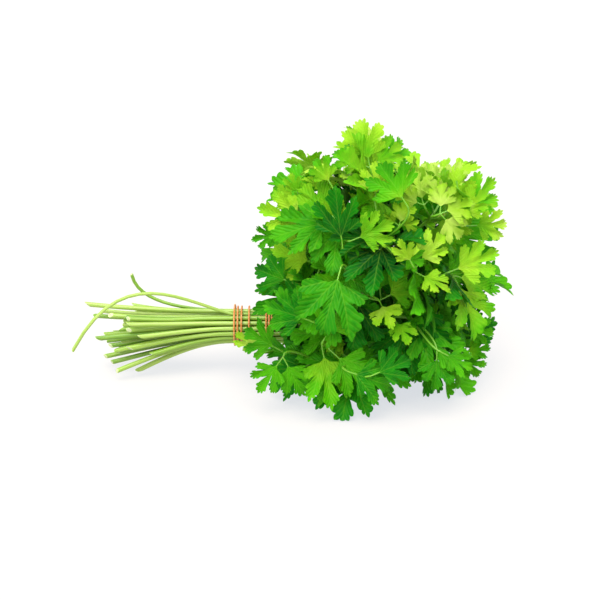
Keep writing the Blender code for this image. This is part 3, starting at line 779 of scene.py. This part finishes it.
# Each spray goes along the camera's line to the first surface or to its own depth, and forwards
# to where it meets the fewest others.
def addSprays(lines, poses, stalks, stems, leaflets):
    eye, back, up = (np.array(v) for v in cameraPlace())
    right, middle = np.array((1.0, 0, 0)), 0.5 * studio["frame"]
    rng = np.random.default_rng(sprays["seed"])
    for px, py, pointing, lean, share, count, tone, depth in sprays["rows"]:
        ray = unit(right * (px - middle) + up * (middle - py) - back * focalPixels())
        reach = viewReach(eye, ray, depth, leaflets)
        angle, lean = math.radians(pointing), math.radians(lean)
        flat = math.cos(angle) * right + math.sin(angle) * up
        rule = {"heading": math.cos(lean) * flat + math.sin(lean) * back,
                "faces": math.cos(lean) * back - math.sin(lean) * flat, "flat": False}
        draws = rng.uniform(-1, 1, (3, 5))
        others = leaflets + [tree for _, tree in stems]
        tries = [sprayAt(eye + ray * (reach - offset), rule, share, sprays["turns"][count], draws,
                         others) for offset in sprays["offsets"]]
        met, fork, made, trees = min(tries, key=lambda found: found[0])
        i, line = sprayStalk(fork, rule["heading"], lines)
        stalks[i].append(line)
        poses[i] += [{**pose, "kind": "spray", "tone": tone} for pose in made]
        leaflets += trees
        if met:
            print("spray at", px, py, "meets", met)
    print("sprays added:", len(sprays["rows"]))


# More leaflets where there is room: each takes the first try that meets nothing before it.
def addLeaflets(rules, lines, poses, stems, leaflets):
    rng = np.random.default_rng(young["seed"])
    for kind, rows in (("inner", young["innerRows"]), ("young", young["rows"])):
        added = 0
        for row in rows:
            for i, rule in enumerate(rules):
                draw = rng.uniform(-1, 1, 5)
                if rule["flat"]:
                    continue
                along = alongLine(lines[i])
                start = np.array([np.interp(along[-1] - row[4], along, lines[i][:, k])
                                  for k in range(3)])
                for attempt in leaf["tries"]:
                    pose = leafletPose(rule, row[:4], start, draw, attempt)
                    tree = roughLeaflet(pose)
                    back = tree[1][0] - young["reachShare"] * tree[2]
                    if back > young["clearOfBand"] and not (
                            any(meets(tree, other) for j, other in stems if j != i)
                            or any(meets(tree, other) for other in leaflets)):
                        poses[i].append({**pose, "kind": kind})
                        leaflets.append(tree)
                        added += 1
                        break
        print(kind, "leaflets added:", added)


# Materials

nodePlaces = {"inRow": 8, "across": 220, "down": -320}


def newSkin(name):
    made = bpy.data.materials.new(name)
    made.use_nodes = True
    made.node_tree.nodes.clear()
    return made, made.node_tree


# A node in the next place of a grid. An input is linked where its value is another's output.
def addNode(tree, kind, inputs=(), **settings):
    row, column = divmod(len(tree.nodes), nodePlaces["inRow"])
    node = tree.nodes.new("ShaderNode" + kind)
    node.location = (nodePlaces["across"] * column, nodePlaces["down"] * row)
    for name, value in settings.items():
        setattr(node, name, value)
    for name, value in dict(inputs).items():
        if isinstance(value, bpy.types.NodeSocket):
            tree.links.new(value, node.inputs[name])
        elif value is not None:
            node.inputs[name].default_value = value
    return node


def ramp(tree, value, stops):
    node = addNode(tree, "ValToRGB", {"Fac": value})
    while len(node.color_ramp.elements) < len(stops):
        node.color_ramp.elements.new(0.5)
    for element, (position, colour) in zip(node.color_ramp.elements, stops):
        element.position = position
        element.color = (*colour, 1)
    return node.outputs["Color"]


def noise(tree, place, scale, detail):
    return addNode(tree, "TexNoise", {"Vector": place, "Scale": scale, "Detail": detail}).outputs["Fac"]


def calculate(tree, operation, first, second=None, third=None, clamped=False):
    return addNode(tree, "Math", {0: first, 1: second, 2: third}, operation=operation,
                   use_clamp=clamped).outputs[0]


def rescale(tree, value, fromMin, fromMax, toMin, toMax, kind="SMOOTHSTEP"):
    return addNode(tree, "MapRange", {
        "Value": value, "From Min": fromMin, "From Max": fromMax, "To Min": toMin,
        "To Max": toMax}, interpolation_type=kind).outputs["Result"]


def blend(tree, share, first, second):
    return addNode(tree, "Mix", {"Factor": share, 6: first, 7: second}, data_type="RGBA").outputs[2]


def bumped(tree, height, strength, distance):
    return addNode(tree, "Bump", {"Height": height, "Strength": strength,
                                  "Distance": distance}).outputs["Normal"]


def finishSkin(tree, shader):
    addNode(tree, "OutputMaterial", {"Surface": shader.outputs[0]})


leafSkin = {
    "base": 0.26,
    # painted light: leaflets lighter and yellower towards the top of the head and its far end, where the
    # light falls
    "paintedLightHigher": (0.40, 0.075, 0.075),  # the tone added, from where on and over how many metres
    "paintedLightFarther": (0.16, 0.015, 0.060),
    # where a leaflet is seen in the 600 pixel frame, how far the spot reaches and its tone change:
    # painted shade where it darkens, in the hollows of the head, and painted light where it lightens
    "shadeAndLightSpots": ((375, 270, 42, -0.34), (355, 228, 30, -0.25), (402, 232, 26, -0.28),
              (450, 292, 30, -0.26), (395, 330, 40, -0.14), (360, 325, 24, -0.25),
              (440, 190, 42, 0.14), (282, 210, 30, 0.16), (468, 250, 34, -0.16),
              (300, 290, 26, -0.05), (405, 190, 18, -0.30), (325, 375, 40, 0.08),
              (480, 195, 24, 0.16), (267, 282, 32, 0.20), (345, 225, 30, -0.15),
              (340, 150, 20, 0.12), (385, 140, 24, 0.14), (482, 320, 26, 0.12),
              (452, 195, 22, -0.22), (425, 180, 18, -0.10), (305, 157, 20, 0.26),
              (368, 215, 22, -0.14), (270, 228, 28, 0.14), (334, 178, 22, 0.20),
              (432, 209, 18, 0.20), (456, 164, 20, -0.18), (385, 235, 30, -0.12),
              (334, 345, 20, 0.15), (286, 354, 24, 0.10), (436, 368, 30, -0.10)),
    "spotEdge": 1.5,
    # young leaflets are paler, as young leaves are; inner ones are darker by painted shade, for the
    # shade behind the others
    "kinds": {"young": 0.18, "inner": -0.24},
    "leafJitter": 0.14,
    "leafletJitter": 0.10,
    "tones": ((0.00, (0.002, 0.070, 0.006)), (0.20, (0.010, 0.235, 0.005)),
              (0.50, (0.100, 0.500, 0.004)), (0.75, (0.400, 0.700, 0.025)),
              (1.00, (0.690, 0.840, 0.170))),
    "veinColour": (0.45, 0.82, 0.06, 1),
    "veinShare": 0.15,
    "wobble": 0.06,  # how far the ribs stray, in radians
    "ribGap": 0.51,  # radians from one lobe's rib to the next
    "ribWidths": (0.004, 0.016),  # in leaflet lengths: where a rib is whole and where none
    "ribFading": (0.5, 1.0, 1.0, 0.5),  # from the first radius to the second, and from share to share
    "branchGap": 0.105,  # in leaflet lengths: from one side vein to the next along a rib
    "branchSlope": 1.9,  # how far a side vein runs along its rib for each way aside
    "branchWidths": (0.003, 0.018),
    "branchShare": 0.5,
    "underColour": (0.32, 0.66, 0.08, 1),
    "underShare": 0.20,
    "glowColour": (0.30, 0.80, 0.002, 1),
    "glowShare": 0.30,
    "glow": 0.38,
    "roughness": 0.42,
    "gloss": 0.09,
    "mottleGrain": (150, 3.0),  # scale and detail of the noise
    "mottle": 0.30,
    "gradient": 0.7,  # how the tone runs along a blade, and the radius where it doesn't change
    "gradientMiddle": 0.6,
    "fineGrain": (1300, 2.0),
    "grain": 0.15,
    "quilt": 0.5,
    "bump": (1.0, 0.0007),  # strength and height
}


# Leaves are painted lighter and yellower towards the top of the head and its far end, as painted
# light, and darker or lighter by the spot where they are seen: painted shade in the hollows and
# painted light on the lit leaves.
def placeTone(pose):
    middle = pose["base"] + 0.5 * pose["size"] * pose["along"]
    eye, back, up = (np.array(v) for v in cameraPlace())
    way = middle - eye
    scale = focalPixels() / -(way @ back)
    seen = 0.5 * studio["frame"] + scale * np.array((way[0], -(way @ up)))
    tone = leafSkin["base"]
    for (change, start, over), place in ((leafSkin["paintedLightHigher"], middle[2]),
                                         (leafSkin["paintedLightFarther"], middle[0])):
        tone += change * smoothStep((place - start) / over)
    edge = leafSkin["spotEdge"]
    # painted shade and painted light, by the spot where the leaflet is seen
    for px, py, reach, change in leafSkin["shadeAndLightSpots"]:
        tone += change * smoothStep(edge - edge * np.linalg.norm(seen - (px, py)) / reach)
    return float(tone)


# Leaf: the tone ramp, shifted by mottling and along the blade; paler on the lower face, along a
# rib to each lobe and along side veins, which leave the rib slantwise: the same radius less the
# slope times the way aside, all from the piece's own map. Light passes through.
def leafMaterial():
    made, tree = newSkin("parsley leaf")
    look = addNode(tree, "Attribute", attribute_name="look").outputs
    parts = addNode(tree, "SeparateColor", {"Color": look["Color"]}).outputs
    place = addNode(tree, "TexCoord").outputs["Object"]
    mottle = noise(tree, place, *leafSkin["mottleGrain"])
    grain = noise(tree, place, *leafSkin["fineGrain"])
    flat = addNode(tree, "UVMap", uv_map="grain").outputs["UV"]
    axes = addNode(tree, "SeparateXYZ", {"Vector": flat}).outputs
    radius = addNode(tree, "VectorMath", {0: flat}, operation="LENGTH").outputs["Value"]
    angle = calculate(tree, "ARCTAN2", axes["Y"], axes["X"])
    wobble = leafSkin["wobble"]
    angle = calculate(tree, "ADD", angle, calculate(tree, "MULTIPLY_ADD", mottle, wobble, -0.5 * wobble))

    ribGap, branchGap = leafSkin["ribGap"], leafSkin["branchGap"]
    aside = calculate(tree, "PINGPONG", calculate(tree, "DIVIDE", angle, ribGap), 0.5)
    away = calculate(tree, "MULTIPLY", aside, radius)
    ribs = rescale(tree, away, *(width / ribGap for width in leafSkin["ribWidths"]), 1, 0)
    ribs = calculate(tree, "MULTIPLY", ribs, rescale(tree, radius, *leafSkin["ribFading"]))
    behind = calculate(tree, "MULTIPLY_ADD", away, -leafSkin["branchSlope"] * ribGap, radius)
    between = calculate(tree, "PINGPONG", calculate(tree, "DIVIDE", behind, branchGap), 0.5)
    veins = rescale(tree, between, *(width / branchGap for width in leafSkin["branchWidths"]),
                    leafSkin["branchShare"], 0)
    veined = calculate(tree, "MAXIMUM", veins, ribs)

    mottled = calculate(tree, "MULTIPLY_ADD", mottle, leafSkin["mottle"], -0.5 * leafSkin["mottle"])
    slope = calculate(tree, "SUBTRACT", parts["Green"], 0.5)
    outwards = calculate(tree, "SUBTRACT", radius, leafSkin["gradientMiddle"])
    slope = calculate(tree, "MULTIPLY", slope, outwards)
    slope = calculate(tree, "MULTIPLY_ADD", slope, leafSkin["gradient"], mottled)
    # the look's red is each leaflet's tone, which carries painted light and painted shade from its place
    tone = calculate(tree, "ADD", parts["Red"], slope, clamped=True)
    veinShare = calculate(tree, "MULTIPLY", veined, leafSkin["veinShare"])
    upper = blend(tree, veinShare, ramp(tree, tone, leafSkin["tones"]), leafSkin["veinColour"])
    under = calculate(tree, "MULTIPLY", look["Alpha"], leafSkin["underShare"])
    colour = blend(tree, under, upper, leafSkin["underColour"])
    glow = blend(tree, leafSkin["glowShare"], colour, leafSkin["glowColour"])
    raised = calculate(tree, "MULTIPLY_ADD", aside, leafSkin["quilt"], between)
    raised = calculate(tree, "ADD", raised, calculate(tree, "MULTIPLY", grain, leafSkin["grain"]))
    surface = addNode(tree, "BsdfPrincipled", {
        "Base Color": colour, "Roughness": leafSkin["roughness"],
        "Specular IOR Level": leafSkin["gloss"],
        "Normal": bumped(tree, raised, *leafSkin["bump"])})
    through = addNode(tree, "BsdfTranslucent", {"Color": glow})
    finishSkin(tree, addNode(tree, "MixShader", {
        "Fac": leafSkin["glow"], 1: surface.outputs[0], 2: through.outputs[0]}))
    return made


stemSkin = {
    "tones": ((0.0, (0.11, 0.26, 0.012)), (0.45, (0.25, 0.41, 0.040)), (1.0, (0.44, 0.57, 0.14))),
    "streakScale": (14, 5, 1),
    "streakGrain": (1.0, 3.0),
    "streaks": 0.9,
    "leafEnd": (0.12, 0.40, 0.010, 1),
    "leafEndFading": (0.45, 1.0, 0.0, 0.75),  # from share to share of the stem, and from none to most
    "cutColour": (0.60, 0.70, 0.33, 1),
    "roughness": 0.36,
    "bump": (0.3, 0.0002),
    "softness": 0.25,  # how much light goes below the skin, how far in each colour, and in metres
    "softColours": (1.0, 1.4, 0.3),
    "softDepth": 0.001,
}


# Stem: pale green streaked along its length, greener towards the leaf and pale on the cut face.
def stemMaterial():
    made, tree = newSkin("parsley stem")
    look = addNode(tree, "Attribute", attribute_name="look").outputs
    parts = addNode(tree, "SeparateColor", {"Color": look["Color"]}).outputs
    place = addNode(tree, "UVMap", uv_map="grain").outputs["UV"]
    stretched = addNode(tree, "Mapping", {"Vector": place, "Scale": stemSkin["streakScale"]})
    streak = noise(tree, stretched.outputs["Vector"], *stemSkin["streakGrain"])
    streaks = stemSkin["streaks"]
    shift = calculate(tree, "MULTIPLY_ADD", streak, streaks, -0.5 * streaks)
    tone = calculate(tree, "ADD", parts["Red"], shift, clamped=True)
    green = rescale(tree, parts["Blue"], *stemSkin["leafEndFading"])
    colour = blend(tree, green, ramp(tree, tone, stemSkin["tones"]), stemSkin["leafEnd"])
    colour = blend(tree, look["Alpha"], colour, stemSkin["cutColour"])
    finishSkin(tree, addNode(tree, "BsdfPrincipled", {
        "Base Color": colour, "Roughness": stemSkin["roughness"],
        "Normal": bumped(tree, streak, *stemSkin["bump"]),
        "Subsurface Weight": stemSkin["softness"], "Subsurface Radius": stemSkin["softColours"],
        "Subsurface Scale": stemSkin["softDepth"]}))
    return made


band = {
    "strandRadius": 0.00065,
    "radius": 0.0135,
    "places": (-0.0122, -0.0099, -0.0072, -0.0020, 0.0098, 0.0118, 0.0138),
    "straight": 0.45,
    "overpass": 0.0017,
    "overpassShare": 0.12,
    "returnStraight": 0.14,
    "perTurn": 64,
    "sides": 10,
    "mapRings": 8,  # rings to one length of the map
    "colour": (0.56, 0.19, 0.035, 1),
    "dusty": (0.74, 0.44, 0.17, 1),
    "dustGrain": (700.0, 4.0),  # scale and detail of the noise
    "dust": (0.48, 0.72, 0.0, 0.7),  # from noise to noise, and from none to most
    "bump": (0.3, 0.0002),
    "roughness": 0.42,
}


# The band's line: turns that go straight and then step aside, and one long turn back over them.
def bandLine():
    places = np.array(band["places"])
    turns = len(places) - 1
    winding = np.arange(turns * band["perTurn"]) / band["perTurn"]
    back = np.arange(band["perTurn"]) / band["perTurn"]
    step = np.floor(winding).astype(int)
    aside = smoothStep((winding - step - band["straight"]) / (1 - band["straight"]))
    along = places[step] + (places[step + 1] - places[step]) * aside
    returned = smoothStep((back - band["returnStraight"]) / (1 - 2 * band["returnStraight"]))
    returning = places[-1] + (places[0] - places[-1]) * returned
    lift = smoothStep(back / band["overpassShare"]) * smoothStep((1 - back) / band["overpassShare"])
    radius = band["radius"] + band["overpass"] * np.concatenate((0 * winding, lift))
    angle = 2 * math.pi * np.concatenate((winding, turns + back)) + 0.5 * math.pi
    return stalk["bandCentre"] + np.column_stack((np.concatenate((along, returning)),
                                                  radius * np.cos(angle), radius * np.sin(angle)))


# The band: a ring of points round each place on its closed line, and the last ring joins the first.
def bandSurface():
    line = bandLine()
    tangent = units(np.roll(line, -1, axis=0) - np.roll(line, 1, axis=0))
    first = units(np.cross(tangent, (1.0, 0.0, 0.0)))
    sides, rows = band["sides"], len(line)
    points = line[:, None] + band["strandRadius"] * circles(first, np.cross(tangent, first), sides)
    quads, uv = tubeQuads(rows, rows, sides, np.arange(rows + 1) / band["mapRings"])
    return {"points": points.reshape(-1, 3), "faces": [quads], "uv": [uv],
            "look": np.zeros((rows * sides, 4)), "skin": 0}


# Band: red-orange rubber, dusted paler in patches, with fine scuffs.
def bandMaterial():
    made, tree = newSkin("red rubber")
    dust = noise(tree, addNode(tree, "TexCoord").outputs["Object"], *band["dustGrain"])
    share = rescale(tree, dust, *band["dust"], kind="LINEAR")
    finishSkin(tree, addNode(tree, "BsdfPrincipled", {
        "Base Color": blend(tree, share, band["colour"], band["dusty"]),
        "Roughness": band["roughness"], "Normal": bumped(tree, dust, *band["bump"])}))
    return made


studio = {
    "floorSize": 12.0,
    "floorColour": (0.20, 0.17, 0.13, 1),
    "floorRoughness": 0.6,
    "floorGloss": 0.1,
    "floorGlowColour": (0.90, 0.93, 1.0, 1),
    "floorGlow": 0.74,
    "worldColour": (0.98, 0.99, 1.0, 1),
    "worldStrength": 1.02,
    "target": Vector((-0.052, 0.0, 0.053)),
    "distance": 0.92,
    "elevation": math.radians(20),
    "lens": 80,
    "sensor": 36,
    "frame": 600,  # pixels, in which the rows of sprays and spots are given
    "suns": (  # name, where it shines from, how wide it looks in degrees, strength
        ("overhead", (0.06, -0.34, 1.0), 45, 2.8),
        ("front", (-0.60, -0.85, 0.90), 40, 1.6),
    ),
}


# The camera's place, the way back from its target and its own way up.
def cameraPlace():
    back = Vector((0, -math.cos(studio["elevation"]), math.sin(studio["elevation"])))
    up = Vector((0, math.sin(studio["elevation"]), math.cos(studio["elevation"])))
    return studio["target"] + studio["distance"] * back, back, up


# How many pixels away the picture would be: what is as wide as it is away spans so many.
def focalPixels():
    return studio["lens"] / studio["sensor"] * studio["frame"]


# A white table that is lit a little from within, wide suns and an even sky.
def addStudio():
    scene = bpy.context.scene
    scene.view_settings.view_transform = "Standard"
    bpy.ops.mesh.primitive_plane_add(size=studio["floorSize"])
    floor = bpy.context.active_object
    floor.name = "floor"
    made, tree = newSkin("white floor")
    finishSkin(tree, addNode(tree, "BsdfPrincipled", {
        "Base Color": studio["floorColour"], "Roughness": studio["floorRoughness"],
        "Specular IOR Level": studio["floorGloss"], "Emission Color": studio["floorGlowColour"],
        "Emission Strength": studio["floorGlow"]}))
    floor.data.materials.append(made)
    world = bpy.data.worlds.new("studio")
    world.use_nodes = True
    backdrop = world.node_tree.nodes["Background"]
    backdrop.inputs["Color"].default_value = studio["worldColour"]
    backdrop.inputs["Strength"].default_value = studio["worldStrength"]
    scene.world = world
    for name, place, width, strength in studio["suns"]:
        light = bpy.data.lights.new(name, "SUN")
        light.angle = math.radians(width)
        light.energy = strength
        lamp = bpy.data.objects.new(name, light)
        lamp.location = place
        lamp.rotation_euler = (-Vector(place)).to_track_quat("-Z", "Y").to_euler()
        scene.collection.objects.link(lamp)
    camera = bpy.data.cameras.new("camera")
    camera.lens = studio["lens"]
    camera.sensor_width = studio["sensor"]
    eye = bpy.data.objects.new("camera", camera)
    eye.location, back, _ = cameraPlace()
    eye.rotation_euler = (-back).to_track_quat("-Z", "Y").to_euler()
    scene.collection.objects.link(eye)
    scene.camera = eye


# All surfaces of one leafy stem: the stem, the stalks of its sprays, and its leaflets, each with
# a stalk, a tone by its place that holds painted light and painted shade, and one of the ready outlines.
def stemSurfaces(i, rule, line, sprayLines, poses, outlines):
    rng = np.random.default_rng((head["seed"], i))
    leafTone = leafSkin["leafJitter"] * rng.uniform(-1, 1)
    middle, most = stalk["tone"]
    stemTone = middle + most * rng.uniform(-1, 1)
    slant = stalk["cutSlant"] * np.array((0, *rng.uniform(-1, 1, 2)))
    surfaces = [stemSurface(rule, line, stemTone, slant)]
    for sprayLine in sprayLines:
        surfaces.append(plainStalk(sprayLine, np.linspace(*sprays["stalkRadius"], len(sprayLine))))
    for pose in poses:
        kind = pose.get("kind", "main")
        # a leaflet's tone: a random shift of its leaf, painted light and shade by its place, paler for a
        # young one, painted shade for an inner one
        tone = pose.get("tone", leafTone + placeTone(pose) + leafSkin["kinds"].get(kind, 0))
        tone += leafSkin["leafletJitter"] * rng.uniform(-1, 1)
        surfaces.append(leafletStalk(pose, rng))
        ready = outlines["plain" if kind in leafSkin["kinds"] else "fine"]
        template = ready[rng.integers(blade["templates"])]
        surfaces.append(leafletSurface(pose, template, rng, tone, rng.uniform(0, 1)))
    return surfaces


def main():
    rules = stemRules()
    corners = [nodeCorners(i) for i in range(len(rules))]
    sways = [findSway(rule, cloud) for rule, cloud in zip(rules, corners)]
    lines = [stemLine(rule, sway, *stalk["steps"]) for rule, sway in zip(rules, sways)]
    poses = [findLeaflets(*found) for found in zip(rules, sways, corners)]
    print("leaflets found:", sum(len(p) for p in poses))
    sprayLines = [[] for rule in rules]
    stems, leaflets = searchTrees(rules, lines, poses)
    addSprays(lines, poses, sprayLines, stems, leaflets)
    addLeaflets(rules, lines, poses, stems, leaflets)
    rng = np.random.default_rng(blade["seed"])
    outlines = {kind: [leafletTemplate(rng, *blade["grids"][kind]) for k in range(blade["templates"])]
                for kind in ("fine", "plain")}
    skins = [stemMaterial(), leafMaterial()]
    for i, rule in enumerate(rules):
        surfaces = stemSurfaces(i, rule, lines[i], sprayLines[i], poses[i], outlines)
        piece = pieceFrom(f"parsley_stem_{i + 1:02d}", surfaces, skins)
        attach(piece, "root")
        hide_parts(nodeName(i))
    print("stems and leaves made")
    piece = pieceFrom("red_band", [bandSurface()], [bandMaterial()])
    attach(piece, "root")
    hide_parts("rubber_band")
    print("band made")
    addStudio()
    print("studio made")


main()
total = sum(len(f.vertices) - 2 for o in bpy.data.objects if o.type == "MESH" and not o.hide_render
            for f in o.data.polygons)
print("triangles shown:", total)
